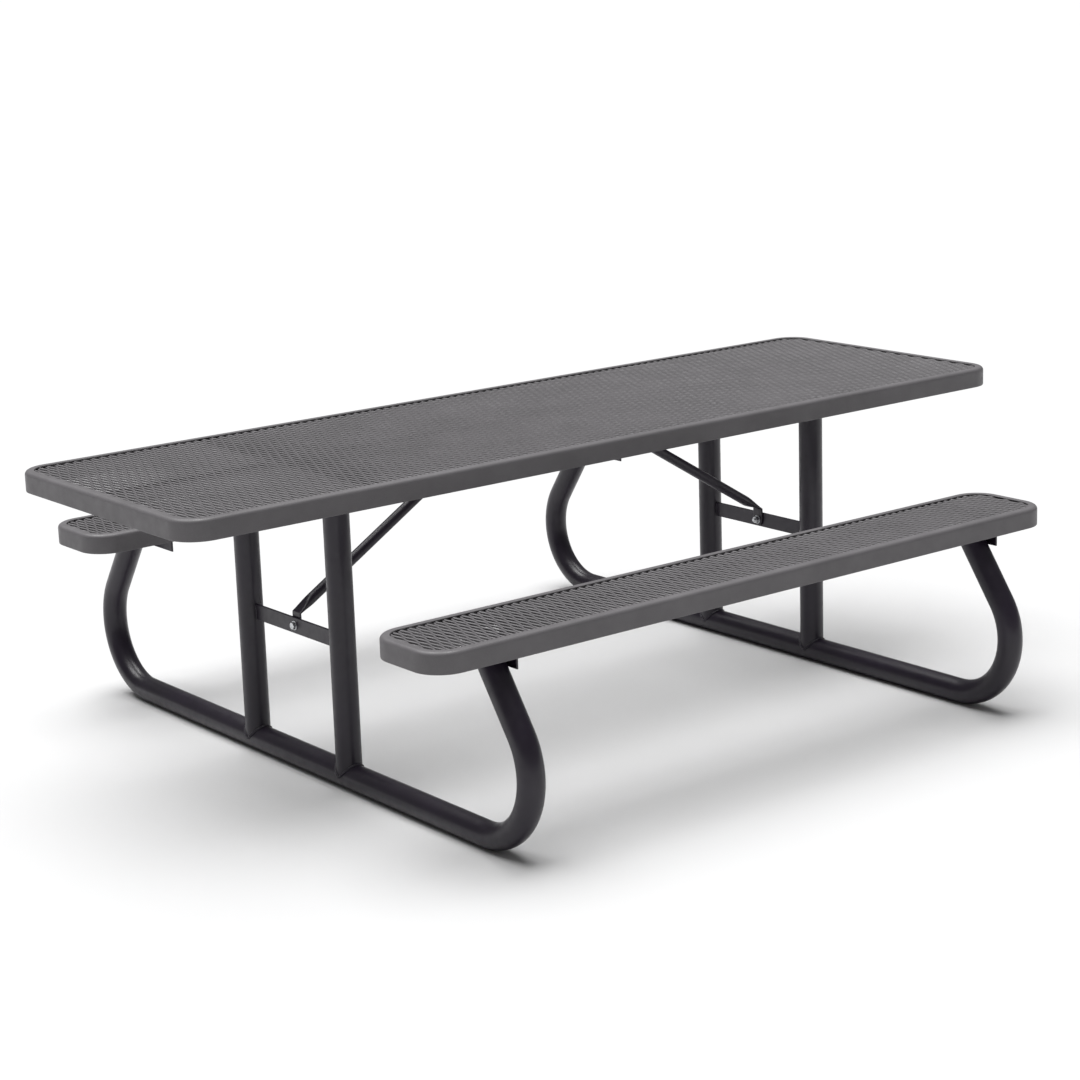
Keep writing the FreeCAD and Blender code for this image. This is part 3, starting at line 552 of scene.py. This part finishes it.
def makeRunner(side):
    # centre line in the frame's plane: straight along the ground, a bend of given radius, then a straight
    # arm; each end ring is slid along the arm until it lies level at the arm's top
    node = "runner_" + side
    low, high = ends(node)
    f, r = frameLook, frameLook["tube"] / 2
    planeX = (low[0] + high[0]) / 2
    bend = math.radians(f["angle"])
    straight = high[1] - r - f["bend"]
    turn = np.linspace(0, bend, f["bendSteps"] + 1)
    y = straight + f["bend"] * np.sin(turn)
    z = r + f["bend"] * (1 - np.cos(turn))
    tip = np.linspace(0.12, 0.82, 4) * (high[2] - z[-1]) / math.sin(bend)
    y = np.concatenate([np.linspace(0, straight, 9)[:-1], y, y[-1] + tip * math.cos(bend)])
    z = np.concatenate([np.full(8, r), z, z[-1] + tip * math.sin(bend)])
    heading = np.concatenate([np.zeros(8), turn, np.full(len(tip), bend)])
    c, s = tubeRing(f["around"])
    squeeze = np.sin(np.clip(heading / bend, 0, 1) * math.pi)[:, None] * f["flattening"]
    normal = np.stack([-np.sin(heading), np.cos(heading)], -1)
    radial = r * (1 - squeeze) * s[None]
    sideways = r * (1 + squeeze * 0.6) * c[None]
    half = np.stack([planeX + sideways, y[:, None] + normal[:, :1] * radial,
                     z[:, None] + normal[:, 1:] * radial], -1)
    # the arm's own end, on the level plane
    run = (high[2] - half[-1, :, 2]) / math.sin(bend)
    level = half[-1] + run[:, None] * np.array([0, math.cos(bend), math.sin(bend)])
    half = np.concatenate([half, level[None]])
    other = half[::-1] * [1, -1, 1]
    shells = [tube(np.concatenate([other, half[1:]]))]
    # welds where each arm ends under its angle
    theta = np.linspace(0, 2 * math.pi, f["armWeldSteps"], endpoint=False)
    middle = (level.min(0) + level.max(0)) / 2
    wide = (level.max(0) - level.min(0)) / 2 + f["weld"] * 0.25
    loop = np.stack([middle[0] + wide[0] * np.cos(theta), middle[1] + wide[1] * np.sin(theta),
                     np.full(len(theta), high[2] - f["weld"] * 0.35)], -1)
    loop = openLoop(loop, theta)
    shells += [bead(loop, f["weld"], False, seed=3), bead(loop * [1, -1, 1], f["weld"], False, seed=4)]
    makePiece("runner" + side.title(), shells, charcoalCoat, [node], 45)


def makePost(side, place):
    # an upright tube whose foot follows the runner: level = r (1 + |sin phi|) above the ground
    node = "post_%s_%s" % (side, place)
    low, high = ends(node)
    r = frameLook["tube"] / 2
    centre = (low + high) / 2
    c, s = tubeRing(frameLook["postAround"])
    foot = r * (1 + np.abs(s)) - 0.5 * mm
    top = high[2]
    share = np.array([0, 0.02, 0.1, 0.3, 0.5, 0.7, 0.9, 0.98, 1])[:, None]
    level = foot[None] * (1 - share) + top * share
    ring = np.stack([centre[0] + r * c, centre[1] + r * s], -1)
    rings = np.concatenate([np.broadcast_to(ring, (len(share),) + ring.shape), level[..., None]], -1)
    # welds: one round the saddle and one round the head
    theta = np.linspace(0, 2 * math.pi, frameLook["postWeldSteps"], endpoint=False)
    w = frameLook["weld"]
    out = r + 0.3 * w
    saddle = np.stack([centre[0] + out * np.cos(theta), centre[1] + out * np.sin(theta),
                       r * (1 + np.abs(np.sin(theta)) ** 1.15) + 0.25 * w], -1)
    head = np.stack([centre[0] + out * np.cos(theta), centre[1] + out * np.sin(theta),
                     np.full(len(theta), top - 0.3 * w)], -1)
    head = openLoop(head, theta)
    shells = [tube(rings), bead(saddle, w, seed=5), bead(head, w, False, seed=6)]
    name = "post%s%s" % (side.title(), place.title())
    makePiece(name, shells, charcoalCoat, [node], 45)


def makeBar(side):
    # a flat bar on edge; its rounded section runs from post to post
    node = "cross_bar_" + side
    low, high = ends(node)
    t, h = high[0] - low[0], high[2] - low[2]
    corners = [[-t / 2, -h / 2], [t / 2, -h / 2], [t / 2, h / 2], [-t / 2, h / 2]]
    origin = np.array([(low[0] + high[0]) / 2, 0, (low[2] + high[2]) / 2])
    shells = [softPrism(corners, 1.1 * mm, low[1], high[1], axisX, axisZ, axisY, origin, 0.4 * mm)]
    # an upright weld on each face at both posts
    w = frameLook["weld"] * 0.8
    postFront = ends("post_%s_front" % side)[1][1]
    height = np.linspace(-h / 2 + 1 * mm, h / 2 - 1 * mm, 60)
    for face in (-1, 1):
        for end in (-1, 1):
            line = np.stack([np.full(60, origin[0] + face * t / 2), np.full(60, end * abs(postFront)),
                             origin[2] + height], -1)
            shells.append(bead(line, w, False, seed=7 + face + 3 * end))
    makePiece("crossBar" + side.title(), shells, charcoalCoat, [node], 45)


for side in sides:
    makeRunner(side)
    makeBar(side)
    for place in ("front", "back"):
        makePost(side, place)

# ---- braces: round tube pressed flat at both ends
brace = {"tube": 25.4 * mm, "flat": 5 * mm, "tab": 34 * mm, "footTab": 30 * mm, "headTab": 58 * mm,
         "taper": 55 * mm, "headReach": 175 * mm, "around": 40,
         "knee": 8 * mm, "squareness": 3.2, "tipLimit": 0.9995}


def smooth(q):
    return q * q * (3 - 2 * q)


def ribHeight():
    # level of the braces' upper bolts, half way down the leg of the top's middle rib
    low, high = ends("top_rib_middle")
    return (high[2] - sectionLook["ribWall"] + low[2]) / 2


def makeBrace(side):
    # section: width a and thickness b, as x = a |cos|^(2/n), y = b |sin|^(2/n), going from a slot (n = 6)
    # through a circle (n = 2) to a slot turned a quarter round; the tips are half round, a = sqrt(r^2 - s^2)
    node = "brace_" + side
    toward = 1.0 if side == "left" else -1.0
    barLow, barHigh = ends("cross_bar_" + side)
    b = brace
    footX = (barHigh[0] if side == "left" else barLow[0]) + toward * b["flat"] / 2
    foot = np.array([footX, 0, (barLow[2] + barHigh[2]) / 2])
    head = np.array([-toward * b["headReach"], 0, ribHeight()])
    knee = foot + axisZ * b["footTab"]
    along = head - knee
    reach = np.linalg.norm(along)
    along /= reach
    tip = b["tab"] / 2
    # stations: foot tip, foot tab, knee, taper, tube, taper, head tab, head tip
    round1 = -tip * np.cos(np.linspace(0, math.pi / 2, 9)) * b["tipLimit"]
    footRun = np.concatenate([round1, np.linspace(0, b["footTab"], 5)[1:]])
    taper1 = np.linspace(0, b["taper"], 13)[1:]
    tubeRun = np.linspace(b["taper"], reach - b["headTab"] - b["taper"], 8)[1:]
    taper2 = reach - b["headTab"] - b["taper"] + np.linspace(0, b["taper"], 13)[1:]
    headRun = reach - b["headTab"] + np.linspace(0, b["headTab"], 6)[1:]
    round2 = reach + tip * np.sin(np.linspace(0, math.pi / 2, 9)[1:]) * b["tipLimit"]
    upper = np.concatenate([taper1, tubeRun, taper2, headRun, round2])
    centres = np.concatenate([foot + footRun[:, None] * axisZ, knee + upper[:, None] * along])
    footZeros = np.zeros(len(footRun))
    shrinkStart = reach - b["headTab"] - b["taper"]
    grow = np.concatenate([footZeros, smooth(np.clip(upper / b["taper"], 0, 1))])
    shrink = np.concatenate([footZeros, smooth(np.clip((upper - shrinkStart) / b["taper"], 0, 1))])
    roundness = np.minimum(grow, 1 - shrink)
    wide = tip + (b["tube"] / 2 - tip) * roundness
    thin = b["flat"] / 2 + (b["tube"] / 2 - b["flat"] / 2) * roundness
    past = np.concatenate([np.maximum(0, -footRun), np.maximum(0, upper - reach)])
    wide = wide * np.sqrt(np.maximum(1 - (past / tip) ** 2, 1e-4))
    power = 2 / (2 + b["squareness"] * (1 - roundness))
    c, s = tubeRing(b["around"])
    x = np.sign(c)[None] * np.abs(c)[None] ** power[:, None]
    y = np.sign(s)[None] * np.abs(s)[None] ** power[:, None]
    # the bend at the knee is shared by the rings on both sides of it
    lean = np.concatenate([np.clip((footRun - b["footTab"] + b["knee"]) / b["knee"], 0, 1) * 0.5,
                           0.5 + 0.5 * np.clip(upper / b["knee"], 0, 1)])[:, None]
    heading = axisZ * (1 - lean) + along * lean
    heading /= np.linalg.norm(heading, axis=1, keepdims=True)
    normal = np.cross(axisY, heading)
    # foot half: wide along Y and thin along the normal; head half: thin along Y and wide along the normal
    isHead = np.concatenate([footZeros > 0, upper > reach / 2])[:, None, None]
    a, t = (wide[:, None] * x)[..., None], (thin[:, None] * y)[..., None]
    footRing = centres[:, None] + a * axisY + t * normal[:, None]
    # the head's ring starts a quarter turn on, so that its points line up with the foot's
    quarter = b["around"] // 4
    a2, t2 = np.roll(a, quarter, 1), np.roll(t, quarter, 1)
    headRing = centres[:, None] - t2 * axisY + a2 * normal[:, None]
    rings = np.where(isHead, headRing, footRing)
    makePiece("brace" + side.title(), [tube(rings)], charcoalCoat, [node], 50)


for side in sides:
    makeBrace(side)

# ---- fasteners
bolts = {"rod": 8 * mm, "head": 18 * mm, "headHeight": 4 * mm, "nutFlats": 13 * mm, "nutHeight": 6.5 * mm,
         "washer": 20 * mm, "washerThick": 1.6 * mm, "spare": 5 * mm, "pitch": 1.25 * mm,
         "braceRod": 10 * mm, "braceFlats": 16 * mm, "braceHead": 6.4 * mm, "braceNut": 8.4 * mm,
         "braceWasher": 22 * mm, "bracePitch": 1.5 * mm,
         "thread": 0.55 * mm, "braceThread": 0.7 * mm, "washerEdge": 0.3 * mm, "chamfer": 0.475,
         "topOuter": 250 * mm, "topInner": 80 * mm, "benchInner": 64 * mm, "benchOuter": 78 * mm}


def hexSolid(flats, start, height, centre, axis, chamferStart, chamferEnd):
    # a hexagon whose corners are cut by a 30 degree cone at the chamfered ends
    slope = math.sqrt(3)
    corner = flats / 2 / math.cos(math.pi / 6)
    cut = [0, 0.15, 0.35, 0.6, 1]
    land = flats * bolts["chamfer"]
    deep = (corner - land) / slope
    low, high = [(corner, start)], [(corner, start + height)]
    if chamferStart:
        low = [(land + slope * deep * c, start + deep * c) for c in cut]
    if chamferEnd:
        high = [(land + slope * deep * c, start + height - deep * c) for c in cut[::-1]]
    return lathe(low + high, centre, axis, 48, flats)


def washerSolid(diameter, thick, start, centre, axis):
    r, e = diameter / 2, bolts["washerEdge"]
    return lathe([(r - e, start), (r - e * 0.3, start + e * 0.3), (r, start + e), (r, start + thick - e),
                  (r - e * 0.3, start + thick - e * 0.3), (r - e, start + thick)], centre, axis, 40)


def strapFasteners(label, rows):
    heads, washers, nuts = [], [], []
    b = bolts
    for panel, places in rows:
        for side in sides:
            low, high = ends("%s_strap_%s" % (panel, side))
            x = (low[0] + high[0]) / 2
            floor = low[2] + sectionLook["strapWall"]
            under = ends("%s_angle_%s" % (panel, side))[1][2] - sectionLook["angleWall"]
            for y in places:
                seat = np.array([x, y, floor])
                r, h = b["head"] / 2, b["headHeight"]
                bow = np.linspace(0, math.pi / 2, 8)[:-1]
                dome = [(r * np.cos(a), h * (0.15 + 0.85 * np.sin(a))) for a in bow]
                heads.append(lathe([(b["rod"] / 2, 0), (r, 0)] + dome + [(0.3 * mm, h)], seat, axisZ))
                nutTop = under - b["washerThick"]
                rodEnd = nutTop - b["nutHeight"] - b["spare"]
                place = np.array([x, y, 0])
                heads.append(threadRod(b["rod"] / 2, b["pitch"], b["thread"], -nutTop, -rodEnd, place, -axisZ))
                washers.append(washerSolid(b["washer"], b["washerThick"], nutTop, place, axisZ))
                nutBase = nutTop - b["nutHeight"]
                nuts.append(hexSolid(b["nutFlats"], nutBase, b["nutHeight"], place, axisZ, True, True))
    for kind, shells in (("Bolts", heads), ("Washers", washers), ("Nuts", nuts)):
        makePiece(label + kind, shells, zincPlate, ["%s_%s" % (label, kind.lower())], 28)


topRow = (bolts["topOuter"], bolts["topInner"], -bolts["topInner"], -bolts["topOuter"])
benchY = {p: sum(ends(p + "_mesh"))[1] / 2 for p in panelNames}
strapFasteners("top", [("top", topRow)])
strapFasteners("bench", [(p, (benchY[p] + out * bolts["benchOuter"], benchY[p] - out * bolts["benchInner"]))
                         for p, out in (("front_bench", -1), ("back_bench", 1))])


def braceFasteners():
    # a hex bolt, two washers and a nut at each end of both braces
    b = bolts
    heads, washers, nuts = [], [], []
    spots = []
    for side, toward in zip(sides, (1.0, -1.0)):
        barLow, barHigh = ends("cross_bar_" + side)
        outer = barLow[0] if toward > 0 else barHigh[0]
        spots.append((np.array([outer, 0, (barLow[2] + barHigh[2]) / 2]), axisX * toward,
                      barHigh[0] - barLow[0] + brace["flat"]))
        spots.append((np.array([-toward * brace["headReach"], -brace["flat"] / 2, ribHeight()]), axisY,
                      brace["flat"] + sectionLook["ribWall"]))
    for seat, axis, grip in spots:
        w = b["washerThick"]
        heads.append(hexSolid(b["braceFlats"], -w - b["braceHead"], b["braceHead"], seat, axis, True, False))
        heads.append(threadRod(b["braceRod"] / 2, b["bracePitch"], b["braceThread"], grip + w,
                               grip + w + b["braceNut"] + b["spare"], seat, axis))
        washers.append(washerSolid(b["braceWasher"], w, -w, seat, axis))
        washers.append(washerSolid(b["braceWasher"], w, grip, seat, axis))
        nuts.append(hexSolid(b["braceFlats"], grip + w, b["braceNut"], seat, axis, True, True))
    for kind, shells in (("Bolts", heads), ("Washers", washers), ("Nuts", nuts)):
        makePiece("brace" + kind, shells, zincPlate, ["brace_" + kind.lower()], 28)


braceFasteners()

# ---- floor and light
studio = {"floor": 80.0, "floorColour": (0.60, 0.60, 0.602), "floorDrift": 1.02,
          "world": 0.20, "sun": 4.9, "sunAngle": 54.0,
          "sunDirection": (0.02, -0.22, -1.0)}


def addStudio(s):
    mat, tree, shader = newFinish("paleFloor")
    lighter = tuple(c * s["floorDrift"] for c in s["floorColour"])
    tone = rampNode(tree, noiseNode(tree, 0.7, 2), [(0.3, s["floorColour"]), (0.7, lighter)])
    tree.links.new(tone, shader.inputs["Base Color"])
    shader.inputs["Roughness"].default_value = 0.9
    shader.inputs["Specular IOR Level"].default_value = 0.1
    mesh = bpy.data.meshes.new("studioFloor")
    h = s["floor"]
    mesh.from_pydata([(-h, -h, 0), (h, -h, 0), (h, h, 0), (-h, h, 0)], [], [(0, 1, 2, 3)])
    mesh.materials.append(mat)
    obj = bpy.data.objects.new("studioFloor", mesh)
    bpy.context.collection.objects.link(obj)
    world = bpy.data.worlds.new("studioWorld")
    world.use_nodes = True
    world.node_tree.nodes["Background"].inputs["Color"].default_value = (1, 1, 1, 1)
    world.node_tree.nodes["Background"].inputs["Strength"].default_value = s["world"]
    bpy.context.scene.world = world
    light = bpy.data.lights.new("studioSun", "SUN")
    light.energy, light.angle = s["sun"], math.radians(s["sunAngle"])
    lamp = bpy.data.objects.new("studioSun", light)
    lamp.rotation_euler = Vector(s["sunDirection"]).to_track_quat("-Z", "Y").to_euler()
    bpy.context.collection.objects.link(lamp)
    bpy.context.scene.view_settings.view_transform = "Standard"


addStudio(studio)
print("studio ready")
